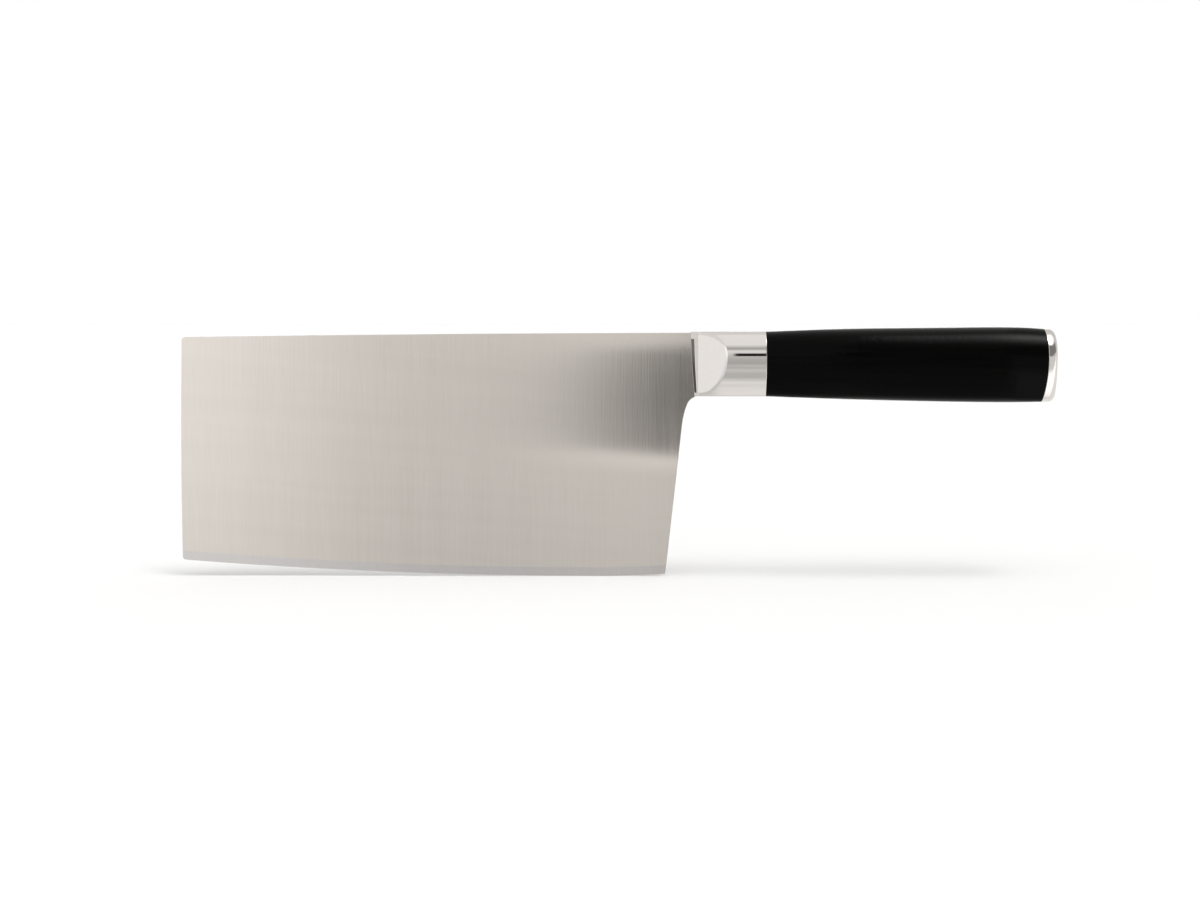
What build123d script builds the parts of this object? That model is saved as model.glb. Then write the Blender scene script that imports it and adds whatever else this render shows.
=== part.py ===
from build123d import *
import math
import os

# Chinese cleaver, in millimetres.
# X runs along the knife with the tip at -X and the butt at +X, Z is up with the spine on top,
# Y is the thickness. The origin lies under the middle of the knife, at the lowest point of the edge.

# Blade outline
edge_length = 180.0
blade_height = 90.7
heel_setback = 12.2
belly_from_heel = 24.0
edge_front_radius = 1950.0
edge_rear_radius = 370.0
tip_top_setback = 0.65
tip_bottom_setback = 0.1
tip_corner_radius = 1.2
spine_drop = 1.65
spine_crown = 0.35
heel_lean = 6.3
throat_height = 56.5
throat_radius = 30.0
throat_turn = 15.0

# Blade thickness
spine_thickness = 2.2
tip_spine_thickness = 2.1
side_thickness_at_edge = 1.04
edge_thickness = 0.1
bevel_angle = 8.4

# Grip line and the section shared by the bolster, the grip and the cap
spine_above_axis = 11.5
front_top = 11.9
front_bottom = 12.1
front_half_width = 8.3
swell_top = 1.65
swell_bottom = 2.2
swell_half_width = 1.4
widest_level_share = 0.636
top_radius_share = 0.72
bottom_radius_share = 0.56

# Bolster
bolster_length = 24.9
lip_thickness = 3.0
lip_taper = 2.2
shoulder_top = 3.1
shoulder_kink = 2.25
shoulder_bottom = 1.0
kink_below_axis = 1.0
groove_top_width = 1.25
groove_bottom_width = 0.7
groove_above_axis = 9.2
groove_below_axis = 10.7
scoop_length = 9.9
scoop_start_angle = 26.0
scoop_rim_radius = 1.5
tenon_length = 4.0
socket_depth = 10.0

# Neck of the blade inside the bolster
neck_thickness = 1.6
neck_overlap = 0.4
neck_depth = 12.0
neck_end_gap = 0.4

# Grip
grip_length = 103.75
grip_bore = 11.0
grip_station_shares = (0, 0.22, 0.45, 0.65, 0.84, 1)
grip_top_shares = (0, 0.52, 0.78, 0.9, 1, 0.56)
grip_bottom_shares = (0, 0.39, 0.7, 0.9, 1, 0.91)
counterbore_diameter = 14.0
counterbore_depth = 10.0

# Tang
tang_width = 9.0
tang_thickness = 3.5
thread_diameter = 6.0
thread_shank = 4.0
thread_over_nut = 1.5

# Washer and nut
washer_diameter = 13.0
washer_thickness = 1.2
nut_across_flats = 10.0
nut_height = 5.0

# End cap and its pins
cap_length = 3.5
cap_corner_radius = 2.6
seam_radius = 90.0
seam_crest_above_axis = 1.9
pin_diameter = 3.0
pin_spread = 19.4
pin_in_grip = 7.0
pin_in_cap = 2.2
pin_end_gap = 0.3

# Fits
fit_gap = 0.05
overrun = 5.0

# Places along X
overall_length = edge_length + heel_setback + bolster_length + grip_length + cap_length
tip_x = -overall_length / 2
heel_x = tip_x + edge_length
belly_x = heel_x - belly_from_heel
lip_x = heel_x + heel_setback
bolster_rear_x = lip_x + bolster_length
grip_rear_x = bolster_rear_x + grip_length
butt_x = grip_rear_x + cap_length
neck_end_x = lip_x + neck_depth
socket_x = bolster_rear_x - socket_depth
tenon_end_x = bolster_rear_x + tenon_length
counterbore_x = grip_rear_x - counterbore_depth
washer_rear_x = counterbore_x + washer_thickness
nut_rear_x = washer_rear_x + nut_height
thread_end_x = nut_rear_x + thread_over_nut
thread_start_x = counterbore_x - thread_shank

# Places along Z
axis_z = blade_height - spine_above_axis
groove_top_z = axis_z + groove_above_axis
groove_bottom_z = axis_z - groove_below_axis
neck_top_z = groove_top_z + neck_overlap
neck_bottom_z = groove_bottom_z - neck_overlap
kink_z = axis_z - kink_below_axis
underside_z = axis_z - front_bottom
seam_crest_z = axis_z + seam_crest_above_axis

spine_half = spine_thickness / 2
lip_half = lip_thickness / 2
bevel_slope = math.tan(math.radians(bevel_angle))


def edge_point(x):
    """Point of the cutting edge at x, on one of the two arcs that meet at the belly."""
    radius = edge_rear_radius if x > belly_x else edge_front_radius
    return (x, radius - math.sqrt(radius**2 - (x - belly_x) ** 2))


def box_between(x0, x1, width_y, z0, z1):
    """Box from x0 to x1 and z0 to z1, with its width centred on the middle plane."""
    centre = Pos((x0 + x1) / 2, 0, (z0 + z1) / 2)
    return centre * Box(x1 - x0, width_y, z1 - z0)


def rod_between(x0, x1, diameter, z=axis_z):
    """Round rod along X from x0 to x1 at height z."""
    return Pos((x0 + x1) / 2, 0, z) * Cylinder(diameter / 2, x1 - x0, rotation=(0, 90, 0))


def side_slab(face):
    """Face drawn in X and Z, made into a slab that is wider than the whole knife."""
    return extrude(Plane.XZ * face, front_half_width + swell_half_width + overrun, both=True)


# Blade


def throat_curve():
    """Heel line, the slow curve above it and the tight corner under the bolster."""
    lean = math.radians(heel_lean)
    heel = edge_point(heel_x)
    rise = throat_height - heel[1]
    heel_line = Line(heel, (heel[0] + rise * math.tan(lean), throat_height))
    slow = JernArc(heel_line @ 1, heel_line % 1, throat_radius, -throat_turn)
    turned = heel_lean + throat_turn
    tight_radius = (underside_z - (slow @ 1).Y) / (1 - math.sin(math.radians(turned)))
    tight = JernArc(slow @ 1, slow % 1, tight_radius, turned - 90)
    return heel_line + slow + tight, tight @ 1


def shoulder_points(top_shift=0, bottom_shift=0):
    """Slanted joint line of blade and bolster from top to bottom, moved back by the shifts."""
    kink_shift = (top_shift + bottom_shift) / 2
    top = (lip_x - shoulder_top + top_shift, blade_height + overrun)
    kink = (lip_x - shoulder_kink + kink_shift, kink_z)
    bottom = (lip_x - shoulder_bottom + bottom_shift, underside_z - overrun)
    return [top, kink, bottom]


def behind_shoulder():
    """Face that covers all that lies behind the joint line."""
    top, kink, bottom = shoulder_points()
    far_x = butt_x + overrun
    return make_face(Polyline(top, kink, bottom, (far_x, bottom[1]), (far_x, top[1]), close=True))


def blade_face():
    """Side view of the blade, up to the joint line at the bolster."""
    throat, throat_end = throat_curve()
    tip_low = edge_point(tip_x + tip_bottom_setback)
    tip_high = (tip_x + tip_top_setback, blade_height - spine_drop)
    spine_end = (lip_x + overrun, blade_height)
    spine_mid = ((tip_high[0] + spine_end[0]) / 2, (tip_high[1] + spine_end[1]) / 2 + spine_crown)
    low_corner = (spine_end[0], throat_end.Y)
    outline = throat
    outline += Line(throat_end, low_corner)
    outline += Line(low_corner, spine_end)
    outline += ThreePointArc(spine_end, spine_mid, tip_high)
    outline += ThreePointArc(tip_high, (tip_x, (tip_high[1] + tip_low[1]) / 2), tip_low)
    outline += ThreePointArc(tip_low, edge_point((tip_x + belly_x) / 2), edge_point(belly_x))
    outline += ThreePointArc(edge_point(belly_x), edge_point((belly_x + heel_x) / 2), edge_point(heel_x))
    face = make_face(outline)
    face = fillet(face.vertices().sort_by(Axis.X)[:2], tip_corner_radius)
    return face - behind_shoulder()


def side_plane():
    """Plane of the blade's +Y side, which thins towards the edge and the tip."""
    thin_down = (spine_thickness - side_thickness_at_edge) / 2 / blade_height
    thin_out = (spine_thickness - tip_spine_thickness) / 2 / (lip_x - tip_x)
    return Plane(origin=(lip_x, spine_half, blade_height), z_dir=(-thin_out, 1, -thin_down))


def bevel_cutter(radius, end_x):
    """Wedge that grinds the +Y cutting bevel along one arc, from the belly to past end_x."""
    half_edge = edge_thickness / 2
    outside = spine_half + overrun
    low = (belly_x, half_edge - bevel_slope * overrun, -overrun)
    high = (belly_x, outside, (outside - half_edge) / bevel_slope)
    corner = (belly_x, outside, -overrun)
    wedge = make_face(Polyline(low, high, corner, close=True))
    reach = abs(end_x - belly_x) + overrun
    sweep = math.degrees(math.asin(reach / radius))
    towards = 1 if end_x < belly_x else -1
    return revolve(wedge, Axis((belly_x, 0, radius), (0, towards, 0)), sweep)


def neck(gap=0, end_gap=0):
    """Flat neck of the blade that the bolster holds."""
    front_x = lip_x - shoulder_top - overrun
    rear_x = neck_end_x + end_gap
    return box_between(front_x, rear_x, neck_thickness + 2 * gap, neck_bottom_z - gap, neck_top_z + gap)


def blade():
    body = extrude(Plane.XZ * blade_face(), spine_half, both=True)
    plane = side_plane()
    body = split(body, plane, Keep.BOTTOM)
    body = mirror(split(mirror(body, Plane.XZ), plane, Keep.BOTTOM), Plane.XZ)
    for radius, end_x in ((edge_front_radius, tip_x), (edge_rear_radius, heel_x)):
        cutter = bevel_cutter(radius, end_x)
        body -= cutter
        body -= mirror(cutter, Plane.XZ)
    return body + neck()


# Section of bolster, grip and cap


def egg(x, top_share, bottom_share):
    """Egg-shaped section at x, six tangent arcs, thickest above its middle."""
    top_z = axis_z + front_top + top_share * swell_top
    bottom_z = axis_z - front_bottom - bottom_share * swell_bottom
    half = front_half_width + (top_share + bottom_share) / 2 * swell_half_width
    level = bottom_z + widest_level_share * (top_z - bottom_z)

    def quarter(end_z, end_radius):
        """Joint of side arc and end arc, and a point half way along the side arc."""
        height = abs(end_z - level)
        up = 1 if end_z > level else -1
        side_radius = (half**2 + height**2 - 2 * height * end_radius) / (2 * (half - end_radius))
        across = side_radius - half
        along = height - end_radius
        turn = math.atan2(along, across)
        joint = (side_radius * math.cos(turn) - across, level + up * side_radius * math.sin(turn))
        middle = (side_radius * math.cos(turn / 2) - across, level + up * side_radius * math.sin(turn / 2))
        return joint, middle

    high, high_mid = quarter(top_z, top_radius_share * half)
    low, low_mid = quarter(bottom_z, bottom_radius_share * half)

    def at(point, side=1):
        return Vector(x, side * point[0], point[1])

    arcs = [
        ThreePointArc(at(high, -1), (x, 0, top_z), at(high)),
        ThreePointArc(at(high), at(high_mid), (x, half, level)),
        ThreePointArc((x, half, level), at(low_mid), at(low)),
        ThreePointArc(at(low), (x, 0, bottom_z), at(low, -1)),
        ThreePointArc(at(low, -1), at(low_mid, -1), (x, -half, level)),
        ThreePointArc((x, -half, level), at(high_mid, -1), at(high, -1)),
    ]
    return make_face(Wire([arc.edge() for arc in arcs]))


# Bolster


def scoop_arc():
    """Radius and centre, seen from above, of the arc that hollows the +Y half-moon."""
    climb = front_half_width - lip_half
    start_angle = math.radians(scoop_start_angle)
    end_angle = 2 * math.atan2(climb, scoop_length) - start_angle
    radius = scoop_length / (math.sin(end_angle) - math.sin(start_angle))
    return radius, lip_x - radius * math.sin(start_angle), lip_half + radius * math.cos(start_angle)


def scoop_rims(body):
    """Curved edges where the half-moon meets the full section."""
    rims = []
    for edge in body.edges():
        box = edge.bounding_box()
        if edge.geom_type != GeomType.LINE and box.size.X > fit_gap and box.max.X < bolster_rear_x - fit_gap:
            rims.append(edge)
    return rims


def hollowed_half(full):
    """+Y half of the bolster, with the half-moon cut in and its rim rounded."""
    radius, centre_x, centre_y = scoop_arc()
    tool = Pos(centre_x, centre_y, axis_z) * Cylinder(radius, 2 * (front_top + front_bottom))
    body = full - tool
    body = fillet(scoop_rims(body), scoop_rim_radius)
    return split(body, Plane.XZ, Keep.BOTTOM)


def lip_plate(full, front_x):
    """Thin front of the bolster between the two half-moons, which thins towards the blade."""
    front_half = lip_half - (lip_x - front_x) * math.tan(math.radians(lip_taper))
    corners = [(front_x, -front_half), (front_x, front_half), (lip_x, lip_half), (lip_x, -lip_half)]
    floor = Pos(0, 0, axis_z - front_bottom - overrun) * make_face(Polyline(*corners, close=True))
    return full & extrude(floor, front_top + front_bottom + 2 * overrun, dir=(0, 0, 1))


def groove_face():
    """Shadow groove of the joint line, which stops short of the spine and the underside."""
    near = shoulder_points(-overrun, -overrun)
    far = shoulder_points(groove_top_width, groove_bottom_width)
    strip = make_face(Polyline(*near, *reversed(far), close=True))
    centre_z = (groove_top_z + groove_bottom_z) / 2
    window = Pos(lip_x, centre_z) * Rectangle(4 * overrun, groove_top_z - groove_bottom_z)
    return strip & window


def tang_bar(gap=0):
    """Flat bar of the tang, from the socket in the bolster to its threaded end."""
    half_width = tang_width / 2 + gap
    low_z, high_z = axis_z - half_width, axis_z + half_width
    return box_between(socket_x, thread_start_x, tang_thickness + 2 * gap, low_z, high_z)


def bolster():
    front_x = lip_x - shoulder_top - overrun
    full = extrude(egg(front_x, 0, 0), bolster_rear_x - front_x, dir=(1, 0, 0))
    half = hollowed_half(full)
    body = half + mirror(half, Plane.XZ) + lip_plate(full, front_x)
    body &= side_slab(behind_shoulder())
    body -= side_slab(groove_face())
    body += rod_between(bolster_rear_x - tenon_length, tenon_end_x, grip_bore - 2 * fit_gap)
    body -= neck(fit_gap, neck_end_gap)
    return body - tang_bar(fit_gap)


# Grip and what it hides


def pin_places():
    """Heights of the two cap pins, one above and one below the tang."""
    return [axis_z + pin_spread / 2, axis_z - pin_spread / 2]


def swelling():
    """Solid outer shape of the grip, up to the crest of the seam."""
    sections = []
    for place_share, *swell_shares in zip(grip_station_shares, grip_top_shares, grip_bottom_shares):
        sections.append(egg(bolster_rear_x + place_share * grip_length, *swell_shares))
    return loft(sections)


def behind_seam():
    """Face that covers all that lies behind the curved seam of grip and cap."""
    reach = front_bottom + swell_bottom + seam_crest_above_axis + overrun
    bulge = seam_radius - math.sqrt(seam_radius**2 - reach**2)
    top = (grip_rear_x - bulge, seam_crest_z + reach)
    bottom = (grip_rear_x - bulge, seam_crest_z - reach)
    far_x = butt_x + overrun
    seam = ThreePointArc(top, (grip_rear_x, seam_crest_z), bottom)
    return make_face(seam + Polyline(bottom, (far_x, bottom[1]), (far_x, top[1]), top))


def grip():
    body = swelling() - side_slab(behind_seam())
    body -= rod_between(bolster_rear_x - overrun, grip_rear_x + overrun, grip_bore)
    body -= rod_between(counterbore_x, grip_rear_x + overrun, counterbore_diameter)
    for z in pin_places():
        hole_x = grip_rear_x - pin_in_grip - pin_end_gap
        body -= rod_between(hole_x, grip_rear_x + overrun, pin_diameter + 2 * fit_gap, z)
    return body


def tang():
    return tang_bar() + rod_between(thread_start_x, thread_end_x, thread_diameter)


def bedding_resin():
    """Resin that fills the bore around the tang."""
    body = rod_between(tenon_end_x, counterbore_x, grip_bore - 2 * fit_gap)
    body -= tang_bar(fit_gap)
    return body - rod_between(thread_start_x, counterbore_x, thread_diameter + 2 * fit_gap)


def tang_washer():
    body = rod_between(counterbore_x, washer_rear_x, washer_diameter)
    return body - rod_between(counterbore_x, washer_rear_x, thread_diameter + 4 * fit_gap)


def tang_nut():
    hexagon = RegularPolygon(nut_across_flats / 2, 6, major_radius=False)
    body = extrude(Plane((washer_rear_x, 0, axis_z), (0, 1, 0), (1, 0, 0)) * hexagon, nut_height)
    return body - rod_between(washer_rear_x, nut_rear_x, thread_diameter + 2 * fit_gap)


def end_cap():
    """Cap with a rounded rear rim, which meets the grip on the curved seam."""
    section = egg(grip_rear_x, grip_top_shares[-1], grip_bottom_shares[-1])
    body = extrude(section, cap_length, dir=(1, 0, 0))
    rim = body.faces().sort_by(Axis.X)[-1].edges()
    body = fillet(rim, cap_corner_radius)
    body += swelling() & side_slab(behind_seam())
    for z in pin_places():
        hole_x = grip_rear_x + pin_in_cap + pin_end_gap
        body -= rod_between(grip_rear_x - overrun, hole_x, pin_diameter + 2 * fit_gap, z)
    return body


def end_cap_pins():
    pins = []
    for z in pin_places():
        pins.append(rod_between(grip_rear_x - pin_in_grip, grip_rear_x + pin_in_cap, pin_diameter, z))
    return Compound(pins)


pieces = {
    "blade": blade,
    "bolster": bolster,
    "tang": tang,
    "bedding_resin": bedding_resin,
    "grip": grip,
    "tang_washer": tang_washer,
    "tang_nut": tang_nut,
    "end_cap": end_cap,
    "end_cap_pins": end_cap_pins,
}

os.makedirs("parts", exist_ok=True)
for name, make in pieces.items():
    export_step(make(), f"parts/{name}.step")
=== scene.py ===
import math

import bpy
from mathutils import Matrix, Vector


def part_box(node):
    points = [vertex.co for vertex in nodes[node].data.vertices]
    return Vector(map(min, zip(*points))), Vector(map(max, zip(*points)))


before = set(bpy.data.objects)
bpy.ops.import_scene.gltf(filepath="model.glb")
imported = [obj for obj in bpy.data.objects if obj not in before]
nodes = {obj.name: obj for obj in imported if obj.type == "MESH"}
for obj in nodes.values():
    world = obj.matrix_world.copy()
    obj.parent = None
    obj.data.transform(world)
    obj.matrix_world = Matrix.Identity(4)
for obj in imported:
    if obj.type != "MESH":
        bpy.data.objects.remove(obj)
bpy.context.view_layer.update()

MM = 0.001

# The knife's tip and the middle of its handle, which place everything else
TIP_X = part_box("blade")[0].x
AXIS_Z = (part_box("tang")[0].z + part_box("tang")[1].z) / 2

# The photograph's frame, and where the camera stands and aims
PHOTO_WIDTH = 1200
MM_PER_PIXEL = 0.372
SENSOR_WIDTH = 36
CAMERA_DISTANCE = 1.0
CAMERA_ELEVATION = math.radians(4)
CAMERA_CLIP = 0.01
AIM_FROM_TIP = 155.7 * MM
AIM_BELOW_AXIS = 32.1 * MM
AIM = Vector((TIP_X + AIM_FROM_TIP, 0, AXIS_Z - AIM_BELOW_AXIS))

# Floor and lamp. Floor colour times light, plus the lift, is just white.
FLOOR_SIZE = 8.0
FLOOR_COLOUR = (0.78, 0.787, 0.794, 1)
FLOOR_LIFT = 0.07
LAMP_DIRECTION = (0.15, 0.35, -1.0)
LAMP_STRENGTH = 0.5
LAMP_SPREAD = math.radians(50)

# The blade's neck, which shows in the joint groove with painted shade that is darkest low down
NECK_HALF = 0.8 * MM
NECK_MARGIN = 0.1 * MM
NECK_REACH = 0.2 * MM
GROOVE_DARK_Z = AXIS_Z - 2 * MM
GROOVE_LIGHT_Z = AXIS_Z + 6 * MM
GROOVE_ROUGHNESS = 0.5

# Surfaces: rounding of the edges, height of the grain, share of the broad marks in it, and the long waves
EDGE_WEAR = 0.25 * MM
EDGE_SAMPLES = 8
FINE_RELIEF = 0.01 * MM
BROAD_SHARE = 0.35
WAVE_STRETCH = 0.05
WAVE_SLOPE = 0.10
# Nearly all values of a noise lie between these
NOISE_LOW = 0.3
NOISE_HIGH = 0.7


# Node helpers


def link(tree, source, target):
    tree.links.new(source, target)


def feed(tree, socket, value):
    """Puts a plain value or another node's output into a socket."""
    if isinstance(value, bpy.types.NodeSocket):
        link(tree, value, socket)
    else:
        socket.default_value = value


def maths(tree, operation, *values):
    node = tree.nodes.new("ShaderNodeMath")
    node.operation = operation
    for socket, value in zip(node.inputs, values):
        feed(tree, socket, value)
    return node.outputs[0]


def remap(tree, value, low, high, to_low=0.0, to_high=1.0, kind="SMOOTHSTEP"):
    node = tree.nodes.new("ShaderNodeMapRange")
    node.interpolation_type = kind
    feed(tree, node.inputs["Value"], value)
    feed(tree, node.inputs["From Min"], low)
    feed(tree, node.inputs["From Max"], high)
    feed(tree, node.inputs["To Min"], to_low)
    feed(tree, node.inputs["To Max"], to_high)
    return node.outputs[0]


def past(tree, value, place, half_width):
    """Rises from 0 to 1 where the value passes a place."""
    return remap(tree, value, place - half_width, place + half_width)


def blend(tree, share, first, second):
    """The first value where the share is 0, the second where it is 1."""
    return remap(tree, share, 0.0, 1.0, first, second, kind="LINEAR")


def share_of(tree, *factors):
    """Product of any number of factors."""
    product = factors[0]
    for factor in factors[1:]:
        product = maths(tree, "MULTIPLY", product, factor)
    return product


def rest_of(tree, share):
    return maths(tree, "SUBTRACT", 1.0, share)


def ramp(tree, value, stops):
    node = tree.nodes.new("ShaderNodeValToRGB")
    elements = node.color_ramp.elements
    while len(elements) < len(stops):
        elements.new(0.5)
    for element, (place, colour) in zip(elements, stops):
        element.position = place
        element.color = (*colour, 1)
    feed(tree, node.inputs[0], value)
    return node.outputs[0]


def mixed(tree, share, first, second, mode="MIX"):
    node = tree.nodes.new("ShaderNodeMix")
    node.data_type = "RGBA"
    node.blend_type = mode
    feed(tree, node.inputs[0], share)
    feed(tree, node.inputs[6], first)
    feed(tree, node.inputs[7], second)
    return node.outputs[2]


def split_place(tree, kind):
    """X, Y and Z of a place on the knife in metres, or in the world, of the direction looked in."""
    coords = tree.nodes.new("ShaderNodeTexCoord")
    split = tree.nodes.new("ShaderNodeSeparateXYZ")
    link(tree, coords.outputs[kind], split.inputs[0])
    return split.outputs


def grey(level):
    return (level, level, level, 1)


def seen_directly(tree):
    """1 for what the camera sees straight or through glass, 0 for light and mirror images."""
    paths = tree.nodes.new("ShaderNodeLightPath")
    return maths(tree, "MAXIMUM", paths.outputs["Is Camera Ray"], paths.outputs["Is Transmission Ray"])


# Camera


def make_camera():
    data = bpy.data.cameras.new("camera")
    data.sensor_width = SENSOR_WIDTH
    data.lens = SENSOR_WIDTH * CAMERA_DISTANCE / (PHOTO_WIDTH * MM_PER_PIXEL * MM)
    data.clip_start = CAMERA_CLIP
    camera = bpy.data.objects.new("camera", data)
    bpy.context.collection.objects.link(camera)
    back = Vector((0, -math.cos(CAMERA_ELEVATION), math.sin(CAMERA_ELEVATION)))
    camera.location = AIM + CAMERA_DISTANCE * back
    camera.rotation_euler = (math.pi / 2 - CAMERA_ELEVATION, 0, 0)
    bpy.context.scene.camera = camera


# Studio: what the steel and the grip mirror, set out by direction from the knife.
# Each table gives a level for an angle in degrees, and levels between the rows are blended.
# In the tables of bands the angle runs round the knife's long axis: 0 is straight ahead of the blade,
# 90 is overhead and -90 is underneath.

BLADE_BANDS = [
    (-180, 0.66),
    (-60, 0.64),
    (-30, 0.57),
    (-12, 0.58),
    (-7.5, 0.605),
    (-4.8, 0.67),
    (-2.6, 0.70),
    (-2.0, 0.72),
    (8, 0.80),
    (30, 0.76),
    (60, 0.80),
    (132, 0.74),
    (180, 0.66),
]
BOLSTER_BANDS = [
    (-180, 0.58),
    (-166, 0.50),
    (-150, 0.70),
    (-115, 0.86),
    (-72, 0.85),
    (-63, 0.76),
    (-57, 0.84),
    (-50, 0.65),
    (-45, 0.52),
    (-37, 0.52),
    (-30, 0.65),
    (-26, 0.50),
    (-21, 0.57),
    (-17, 0.44),
    (-8, 0.49),
    (-3, 0.60),
    (18, 0.79),
    (24, 0.80),
    (28, 0.56),
    (33, 0.41),
    (38, 0.48),
    (50, 0.79),
    (56, 0.87),
    (118, 0.88),
    (125, 0.74),
    (168, 0.70),
    (180, 0.58),
]
GRIP_BANDS = [
    (-180, 0.92),
    (-150, 1.00),
    (-120, 1.60),
    (-100, 1.32),
    (-85, 0.88),
    (-75, 0.70),
    (-60, 0.62),
    (-38, 0.58),
    (-10, 0.36),
    (36, 0.34),
    (50, 0.42),
    (70, 0.66),
    (95, 0.88),
    (115, 0.99),
    (140, 0.88),
    (180, 0.92),
]
CAP_BANDS = [
    (-180, 0.76),
    (-125, 0.90),
    (-100, 0.82),
    (-82, 0.80),
    (-73, 1.15),
    (-62, 1.35),
    (-35, 1.35),
    (-28, 0.95),
    (-24, 0.70),
    (-10, 0.68),
    (30, 0.75),
    (58, 0.95),
    (70, 1.10),
    (84, 1.16),
    (96, 1.04),
    (103, 0.90),
    (110, 0.78),
    (118, 0.67),
    (137, 0.61),
    (160, 0.70),
    (180, 0.76),
]
# Strip light that makes the streak along the top of the grip
STREAK_BANDS = [
    (-180, 0.00),
    (42, 0.00),
    (50, 0.09),
    (60, 0.33),
    (66, 0.60),
    (73, 0.85),
    (80, 1.00),
    (87, 0.80),
    (95, 0.16),
    (105, 0.00),
    (180, 0.00),
]
# How much brighter the blade's part of the studio is, by the angle to the side
BLADE_SIDE = [
    (-60, 1.30),
    (-14, 1.55),
    (-9, 1.49),
    (-6.4, 1.24),
    (-4.3, 1.04),
    (-2.0, 1.03),
    (0.5, 1.12),
    (60, 1.12),
]
# The wall on the left, by the angle above the horizon
WALL_BANDS = [
    (-90, 0.62),
    (-25, 0.68),
    (-9, 0.90),
    (0, 0.94),
    (9, 0.92),
    (25, 0.80),
    (60, 0.76),
    (90, 0.85),
]
# A ramp's colours stop at 1, so it holds levels as shares of this one
TOP_LEVEL = 2.0

# Angles to the side at which the parts of the studio begin, and half the width of each change.
# The handle's part is everything right of the blade, and ends the flag that darkens the blade.
BOLSTER_FROM = 2.45
BOLSTER_CHANGE = 0.2
HANDLE_FROM = 2.55
HANDLE_CHANGE = 0.15
GRIP_FROM = 3.65
GRIP_CHANGE = 0.08
CAP_FROM = 9.29
CAP_CHANGE = 0.09
# The blade's part is lifted only this near the horizon, and the left wall begins this far across
SIDE_LIFT_FADE = (45.0, 28.0)
WALL_FADE = (-0.55, -0.9)
# The streak grows stronger to the right and ends there
STREAK_RISE = (3.6, 11.0)
STREAK_GAIN = 10.0
STREAK_END = (26.0, 16.0)

# Dark side of the room that the cap mirrors, between two slanting edges above the horizon
ROOM_LOW = -2.0
ROOM_LOW_SLANT = 0.10
ROOM_LOW_FADE = (-4.0, 7.0)
ROOM_HIGH = 46.0
ROOM_HIGH_SLANT = -0.13
ROOM_HIGH_FADE = (-8.0, 6.0)
ROOM_FRONT_FADE = (-0.35, 0.1)
ROOM_LEVEL = 0.21

# Black flag that darkens the heel of the blade. Its left end is rounded, and it deepens to the right.
FLAG_LOW = -4.73
FLAG_LOW_SLANT = -0.095
FLAG_LOW_FADE = (-0.05, 0.15)
FLAG_HIGH = -2.53
FLAG_HIGH_SLANT = 0.047
FLAG_HIGH_FADE = (-0.08, 0.24)
FLAG_LEFT = 0.34
FLAG_LEFT_CHANGE = 2.1
FLAG_MIDDLE = -3.85
FLAG_ROUNDING = 0.35
FLAG_DEEPENS = (0.3, 1.2)
FLAG_DEPTHS = (1.0, 1.10)
FLAG_LEVEL = 0.09
# The same flag draws the thin dark line on the bolster
LINE_LOW_FADE = (-4.6, -3.4)
LINE_HIGH_FADE = (11.5, 9.0)
LINE_LEFT = 2.86
LINE_LEFT_CHANGE = 0.06
LINE_LEVEL = 0.02
# Narrow light under the flag
STRIP_LOW_FADE = (-0.34, -0.18)
STRIP_HIGH_FADE = (0.05, -0.05)
STRIP_LEFT_FADE = (-1.8, 1.2)
STRIP_LEVEL = 0.92

# Tints of the studio. The cutting bevel leans down to its cooler part.
WARM_LIGHT = (1.0, 0.985, 0.97)
COOL_LIGHT = (0.94, 0.955, 1.0)
COOL_HIGH_FADE = (-11.0, -15.0)
COOL_LOW_FADE = (-33.0, -28.0)


def level_at(tree, angle, table):
    low, high = table[0][0], table[-1][0]
    place = remap(tree, angle, low, high, kind="LINEAR")
    stops = [((step - low) / (high - low), (level / TOP_LEVEL,) * 3) for step, level in table]
    return maths(tree, "MULTIPLY", ramp(tree, place, stops), TOP_LEVEL)


def slanted_edge(tree, value, slant, start):
    return maths(tree, "MULTIPLY_ADD", value, slant, start)


def banded_light(tree, round_axis, sideways, on_bolster, on_grip, on_cap):
    """The blade's, bolster's, grip's and cap's bands side by side, with the streak's strip light on top."""
    near_horizon = remap(tree, maths(tree, "ABSOLUTE", round_axis), *SIDE_LIFT_FADE)
    side_lift = blend(tree, near_horizon, 1.0, level_at(tree, sideways, BLADE_SIDE))
    level = share_of(tree, level_at(tree, round_axis, BLADE_BANDS), side_lift)
    for share, table in ((on_bolster, BOLSTER_BANDS), (on_grip, GRIP_BANDS), (on_cap, CAP_BANDS)):
        level = blend(tree, share, level, level_at(tree, round_axis, table))
    gain = remap(tree, sideways, *STREAK_RISE, 0.0, STREAK_GAIN, kind="LINEAR")
    ending = remap(tree, sideways, *STREAK_END)
    streak = share_of(tree, level_at(tree, round_axis, STREAK_BANDS), gain, ending)
    return maths(tree, "ADD", level, streak)


def dark_room(tree, sideways, height, front, on_cap):
    past_grip = maths(tree, "SUBTRACT", sideways, CAP_FROM)
    low_edge = slanted_edge(tree, past_grip, ROOM_LOW_SLANT, ROOM_LOW)
    high_edge = slanted_edge(tree, past_grip, ROOM_HIGH_SLANT, ROOM_HIGH)
    above_low = remap(tree, maths(tree, "SUBTRACT", height, low_edge), *ROOM_LOW_FADE)
    below_high = remap(tree, maths(tree, "SUBTRACT", high_edge, height), *ROOM_HIGH_FADE)
    return share_of(tree, on_cap, above_low, below_high, remap(tree, front, *ROOM_FRONT_FADE))


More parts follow.
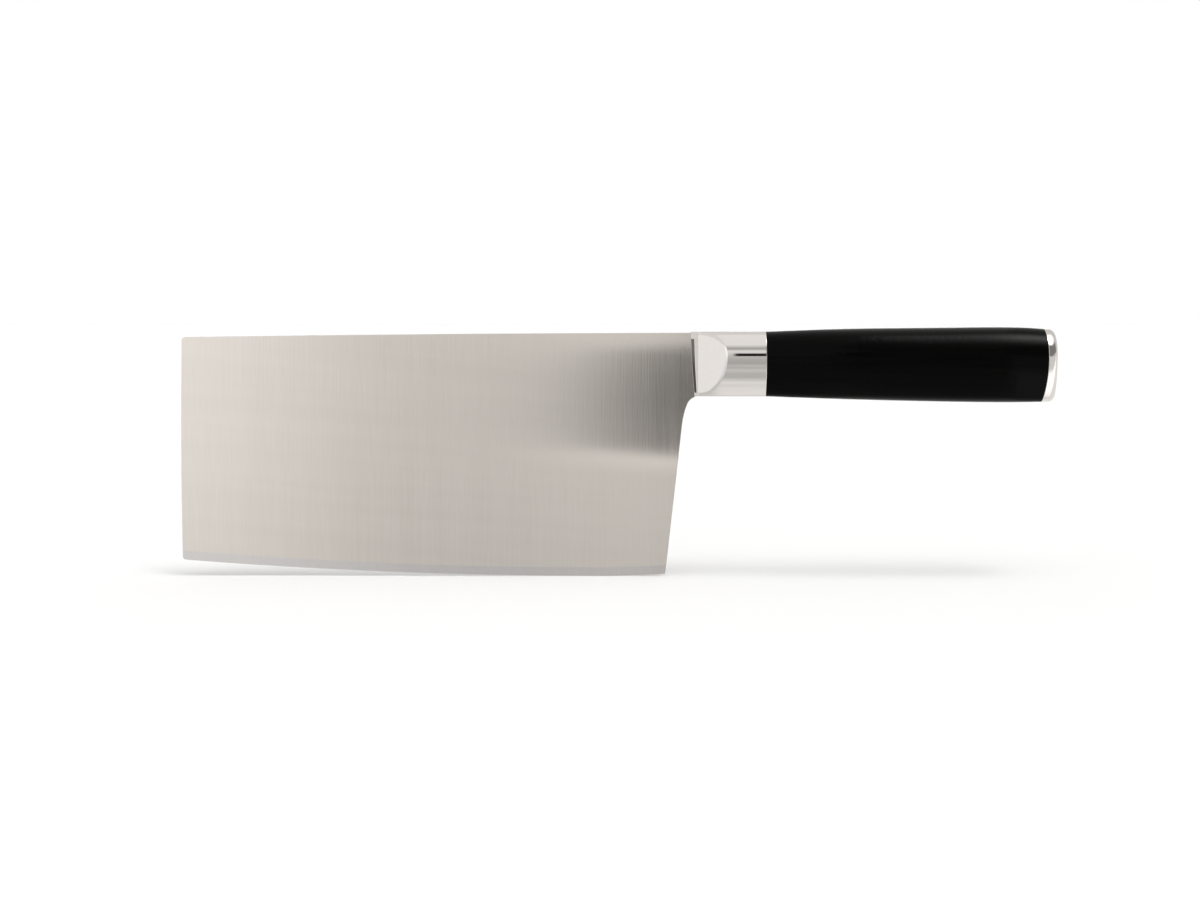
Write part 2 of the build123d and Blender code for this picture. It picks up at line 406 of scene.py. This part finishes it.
def dark_flag(tree, round_axis, sideways, above_low, on_handle, on_grip):
    high_edge = slanted_edge(tree, sideways, FLAG_HIGH_SLANT, FLAG_HIGH)
    below_high = maths(tree, "SUBTRACT", high_edge, round_axis)
    flag_low = remap(tree, above_low, *FLAG_LOW_FADE)
    flag_high = remap(tree, below_high, *FLAG_HIGH_FADE)
    line_low = remap(tree, round_axis, *LINE_LOW_FADE)
    line_high = remap(tree, round_axis, *LINE_HIGH_FADE)

    off_middle = maths(tree, "SUBTRACT", round_axis, FLAG_MIDDLE)
    setback = share_of(tree, off_middle, off_middle, FLAG_ROUNDING)
    from_left = past(tree, maths(tree, "SUBTRACT", sideways, setback), FLAG_LEFT, FLAG_LEFT_CHANGE)
    flag_depth = share_of(tree, from_left, remap(tree, sideways, *FLAG_DEEPENS, *FLAG_DEPTHS))
    line_depth = past(tree, sideways, LINE_LEFT, LINE_LEFT_CHANGE)

    in_flag = share_of(tree, flag_low, flag_high)
    in_line = share_of(tree, line_low, line_high)
    inside = blend(tree, on_handle, in_flag, in_line)
    depth = blend(tree, on_handle, flag_depth, line_depth)
    return share_of(tree, inside, depth, rest_of(tree, on_grip))


def narrow_strip(tree, sideways, above_low, on_handle):
    low = remap(tree, above_low, *STRIP_LOW_FADE)
    high = remap(tree, above_low, *STRIP_HIGH_FADE)
    left = remap(tree, sideways, *STRIP_LEFT_FADE)
    return share_of(tree, low, high, left, rest_of(tree, on_handle))


def cool_part(tree, round_axis, on_bolster):
    high = remap(tree, round_axis, *COOL_HIGH_FADE)
    low = remap(tree, round_axis, *COOL_LOW_FADE)
    return share_of(tree, high, low, rest_of(tree, on_bolster))


def studio_light(tree):
    across, along, up = split_place(tree, "Generated")
    front = maths(tree, "MULTIPLY", along, -1.0)
    round_axis = maths(tree, "DEGREES", maths(tree, "ARCTAN2", up, front))
    sideways = maths(tree, "DEGREES", maths(tree, "ARCSINE", across))
    height = maths(tree, "DEGREES", maths(tree, "ARCSINE", up))

    on_bolster = past(tree, sideways, BOLSTER_FROM, BOLSTER_CHANGE)
    on_handle = past(tree, sideways, HANDLE_FROM, HANDLE_CHANGE)
    on_grip = past(tree, sideways, GRIP_FROM, GRIP_CHANGE)
    on_cap = past(tree, sideways, CAP_FROM, CAP_CHANGE)
    level = banded_light(tree, round_axis, sideways, on_bolster, on_grip, on_cap)

    low_edge = slanted_edge(tree, sideways, FLAG_LOW_SLANT, FLAG_LOW)
    above_low = maths(tree, "SUBTRACT", round_axis, low_edge)
    flag = dark_flag(tree, round_axis, sideways, above_low, on_handle, on_grip)
    level = blend(tree, flag, level, blend(tree, on_handle, FLAG_LEVEL, LINE_LEVEL))
    level = blend(tree, narrow_strip(tree, sideways, above_low, on_handle), level, STRIP_LEVEL)

    on_wall = remap(tree, across, *WALL_FADE)
    level = blend(tree, on_wall, level, level_at(tree, height, WALL_BANDS))
    level = blend(tree, dark_room(tree, sideways, height, front, on_cap), level, ROOM_LEVEL)

    cool = cool_part(tree, round_axis, on_bolster)
    tinted = tree.nodes.new("ShaderNodeCombineColor")
    for socket, warm_share, cool_share in zip(tinted.inputs, WARM_LIGHT, COOL_LIGHT):
        link(tree, share_of(tree, level, blend(tree, cool, warm_share, cool_share)), socket)
    return tinted.outputs[0]


def make_world():
    world = bpy.data.worlds.new("studio")
    bpy.context.scene.world = world
    world.use_nodes = True
    tree = world.node_tree
    tree.nodes.clear()
    background = tree.nodes.new("ShaderNodeBackground")
    colour = mixed(tree, seen_directly(tree), studio_light(tree), grey(1))
    link(tree, colour, background.inputs["Color"])
    output = tree.nodes.new("ShaderNodeOutputWorld")
    link(tree, background.outputs[0], output.inputs["Surface"])


def make_floor():
    bpy.ops.mesh.primitive_plane_add(size=FLOOR_SIZE, location=(0, 0, 0))
    floor = bpy.context.object
    floor.name = "floor"
    material = bpy.data.materials.new("floor_white")
    material.use_nodes = True
    tree = material.node_tree
    tree.nodes.clear()
    diffuse = tree.nodes.new("ShaderNodeBsdfDiffuse")
    diffuse.inputs["Color"].default_value = FLOOR_COLOUR
    lift = tree.nodes.new("ShaderNodeEmission")
    lift.inputs["Color"].default_value = grey(1)
    link(tree, share_of(tree, seen_directly(tree), FLOOR_LIFT), lift.inputs["Strength"])
    both = tree.nodes.new("ShaderNodeAddShader")
    link(tree, diffuse.outputs[0], both.inputs[0])
    link(tree, lift.outputs[0], both.inputs[1])
    output = tree.nodes.new("ShaderNodeOutputMaterial")
    link(tree, both.outputs[0], output.inputs["Surface"])
    floor.data.materials.append(material)
    floor.visible_glossy = False


def make_soft_light():
    """Wide, even light from above, which gives the floor its soft shadow."""
    data = bpy.data.lights.new("soft_light", "SUN")
    data.energy = LAMP_STRENGTH
    data.angle = LAMP_SPREAD
    lamp = bpy.data.objects.new("soft_light", data)
    bpy.context.collection.objects.link(lamp)
    lamp.rotation_euler = Vector(LAMP_DIRECTION).to_track_quat("-Z", "Y").to_euler()
    lamp.visible_glossy = False


# Materials


def new_material(name, metallic=0):
    material = bpy.data.materials.new(name)
    material.use_nodes = True
    tree = material.node_tree
    shader = tree.nodes["Principled BSDF"]
    shader.inputs["Metallic"].default_value = metallic
    return material, tree, shader


def object_point(tree, scale):
    """Place on the knife in metres, stretched by scale along X, Y and Z."""
    coords = tree.nodes.new("ShaderNodeTexCoord")
    mapping = tree.nodes.new("ShaderNodeMapping")
    link(tree, coords.outputs["Object"], mapping.inputs["Vector"])
    mapping.inputs["Scale"].default_value = scale
    return mapping.outputs[0]


def noise(tree, vector, scale, detail):
    node = tree.nodes.new("ShaderNodeTexNoise")
    link(tree, vector, node.inputs["Vector"])
    node.inputs["Scale"].default_value = scale
    node.inputs["Detail"].default_value = detail
    return node.outputs["Fac"]


def between(tree, pattern, low, high):
    """Turns a noise into a value between two others."""
    return remap(tree, pattern, NOISE_LOW, NOISE_HIGH, low, high)


def two_tone(tree, pattern, dark, light):
    """Turns a noise into a colour between two others."""
    return ramp(tree, pattern, [(NOISE_LOW, dark), (NOISE_HIGH, light)])


def rounded_edges(tree):
    """Normal that turns over every sharp edge, which catches a thin line of light there."""
    node = tree.nodes.new("ShaderNodeBevel")
    node.samples = EDGE_SAMPLES
    node.inputs["Radius"].default_value = EDGE_WEAR
    return node.outputs[0]


def bump(tree, height, strength, normal=None):
    node = tree.nodes.new("ShaderNodeBump")
    if normal:
        link(tree, normal, node.inputs["Normal"])
    node.inputs["Strength"].default_value = strength
    node.inputs["Distance"].default_value = FINE_RELIEF
    link(tree, height, node.inputs["Height"])
    return node.outputs[0]


def brushed_gloss(tree, shader, turn=0):
    """Blurs the mirror image along the knife or, with a quarter turn, across it."""
    shader.inputs["Anisotropic"].default_value = 1.0
    shader.inputs["Anisotropic Rotation"].default_value = turn
    tangent = tree.nodes.new("ShaderNodeCombineXYZ")
    tangent.inputs["X"].default_value = 1
    link(tree, tangent.outputs[0], shader.inputs["Tangent"])


def neck_painted_shade(tree):
    """Where the blade's neck shows in the groove, and the colour of the shade painted there."""
    x, y, z = split_place(tree, "Object")
    inner = maths(tree, "LESS_THAN", maths(tree, "ABSOLUTE", y), NECK_HALF + NECK_MARGIN)
    rear = maths(tree, "GREATER_THAN", x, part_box("bolster")[0].x - NECK_REACH)
    lighter = remap(tree, z, GROOVE_DARK_Z, GROOVE_LIGHT_Z)
    colour = ramp(tree, lighter, [(0, (0.17, 0.155, 0.14)), (1, (0.36, 0.335, 0.31))])
    return share_of(tree, inner, rear), colour


def polishing_waves(tree):
    """Long, faint, slightly slanted marks that the polishing belt leaves along the blade."""
    x, _, z = split_place(tree, "Object")
    point = tree.nodes.new("ShaderNodeCombineXYZ")
    link(tree, share_of(tree, x, WAVE_STRETCH), point.inputs["X"])
    link(tree, maths(tree, "MULTIPLY_ADD", x, WAVE_SLOPE, z), point.inputs["Z"])
    return between(tree, noise(tree, point.outputs[0], scale=170, detail=1), 0.98, 1.0)


def brushed_steel():
    material, tree, shader = new_material("blade_steel", metallic=1)
    fine = noise(tree, object_point(tree, (1, 1, 0.02)), scale=2500, detail=3)
    broad = noise(tree, object_point(tree, (1, 1, 0.05)), scale=160, detail=2)
    grain = blend(tree, BROAD_SHARE, fine, broad)
    steel = two_tone(tree, grain, (0.752, 0.709, 0.661), (0.788, 0.745, 0.698))
    steel = mixed(tree, 1.0, steel, polishing_waves(tree), "MULTIPLY")
    # Painted shade: the neck's colour is darkened inside the joint groove, and its roughness is raised
    # there
    in_painted_shade, painted_shade_colour = neck_painted_shade(tree)
    link(tree, mixed(tree, in_painted_shade, steel, painted_shade_colour), shader.inputs["Base Color"])
    roughness = blend(tree, in_painted_shade, between(tree, grain, 0.05, 0.06), GROOVE_ROUGHNESS)
    link(tree, roughness, shader.inputs["Roughness"])
    brushed_gloss(tree, shader)
    link(tree, bump(tree, fine, 0.2, rounded_edges(tree)), shader.inputs["Normal"])
    return material


def polished_steel():
    material, tree, shader = new_material("polished_steel", metallic=1)
    wipes = noise(tree, object_point(tree, (0.1, 1, 1)), scale=900, detail=3)
    colour = two_tone(tree, wipes, (0.83, 0.798, 0.77), (0.853, 0.821, 0.793))
    link(tree, colour, shader.inputs["Base Color"])
    link(tree, between(tree, wipes, 0.012, 0.022), shader.inputs["Roughness"])
    link(tree, rounded_edges(tree), shader.inputs["Normal"])
    return material


def black_laminate():
    material, tree, shader = new_material("black_laminate")
    grain = noise(tree, object_point(tree, (0.03, 1, 1)), scale=700, detail=4)
    colour = ramp(tree, grain, [(0.35, (0.0005, 0.0005, 0.0005)), (0.7, (0.0014, 0.0013, 0.0012))])
    link(tree, colour, shader.inputs["Base Color"])
    link(tree, between(tree, grain, 0.11, 0.14), shader.inputs["Roughness"])
    shader.inputs["Specular IOR Level"].default_value = 0.06
    brushed_gloss(tree, shader, turn=0.25)
    link(tree, bump(tree, grain, 0.05), shader.inputs["Normal"])
    return material


def plain_metal(name, dark, light):
    material, tree, shader = new_material(name, metallic=1)
    marks = noise(tree, object_point(tree, (1, 1, 1)), scale=1200, detail=4)
    link(tree, two_tone(tree, marks, dark, light), shader.inputs["Base Color"])
    link(tree, between(tree, marks, 0.3, 0.5), shader.inputs["Roughness"])
    return material


def resin():
    material, tree, shader = new_material("bedding_resin")
    clouds = noise(tree, object_point(tree, (1, 1, 1)), scale=300, detail=4)
    link(tree, two_tone(tree, clouds, (0.12, 0.09, 0.05), (0.20, 0.16, 0.10)), shader.inputs["Base Color"])
    link(tree, between(tree, clouds, 0.4, 0.6), shader.inputs["Roughness"])
    return material


def dress(node, material):
    mesh = nodes[node].data
    mesh.materials.clear()
    mesh.materials.append(material)


polished = polished_steel()
fastener = plain_metal("fastener_steel", (0.50, 0.50, 0.50), (0.64, 0.64, 0.63))
dress("blade", brushed_steel())
dress("bolster", polished)
dress("end_cap", polished)
dress("grip", black_laminate())
dress("tang", plain_metal("tang_steel", (0.34, 0.33, 0.32), (0.48, 0.47, 0.46)))
dress("bedding_resin", resin())
for name in ("tang_washer", "tang_nut", "end_cap_pins"):
    dress(name, fastener)

make_camera()
make_world()
make_floor()
make_soft_light()

bpy.context.scene.view_settings.view_transform = "Standard"
